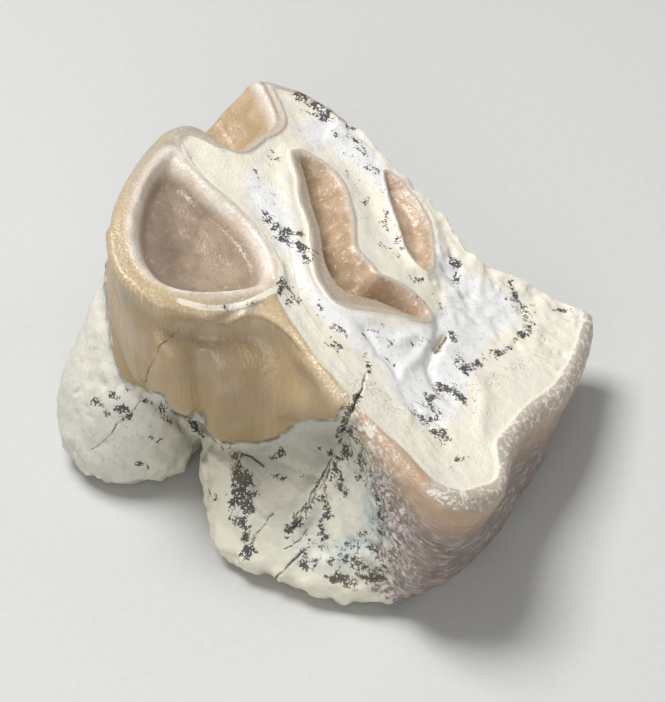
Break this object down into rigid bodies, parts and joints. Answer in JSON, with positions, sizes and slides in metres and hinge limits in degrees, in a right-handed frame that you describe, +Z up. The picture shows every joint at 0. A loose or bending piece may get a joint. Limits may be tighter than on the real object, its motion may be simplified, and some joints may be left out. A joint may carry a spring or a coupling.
{
  "type": "fossil rhino tooth",
  "caption": "Worn upper cheek tooth of a fossil rhinoceros resting on its roots, with a sloping chewing face, pits, an open valley and a basin inside enamel ridges.",
  "frame": {"origin": "centre of the bounding box on the surface that the tooth rests on, as it lies", "axes": "+Z up from the resting surface; +X towards the cheek side of the tooth, -X towards the tongue side; -Y towards the front wall that the picture faces"},
  "size_m": [0.0736, 0.0744, 0.0431],
  "materials": {
    "tooth": "satin to polished enamel, chalky root and dentine with dark branching mineral stains"
  },
  "bodies": {
    "root": {"tooth": "tooth"}
  },
  "joints": []
}
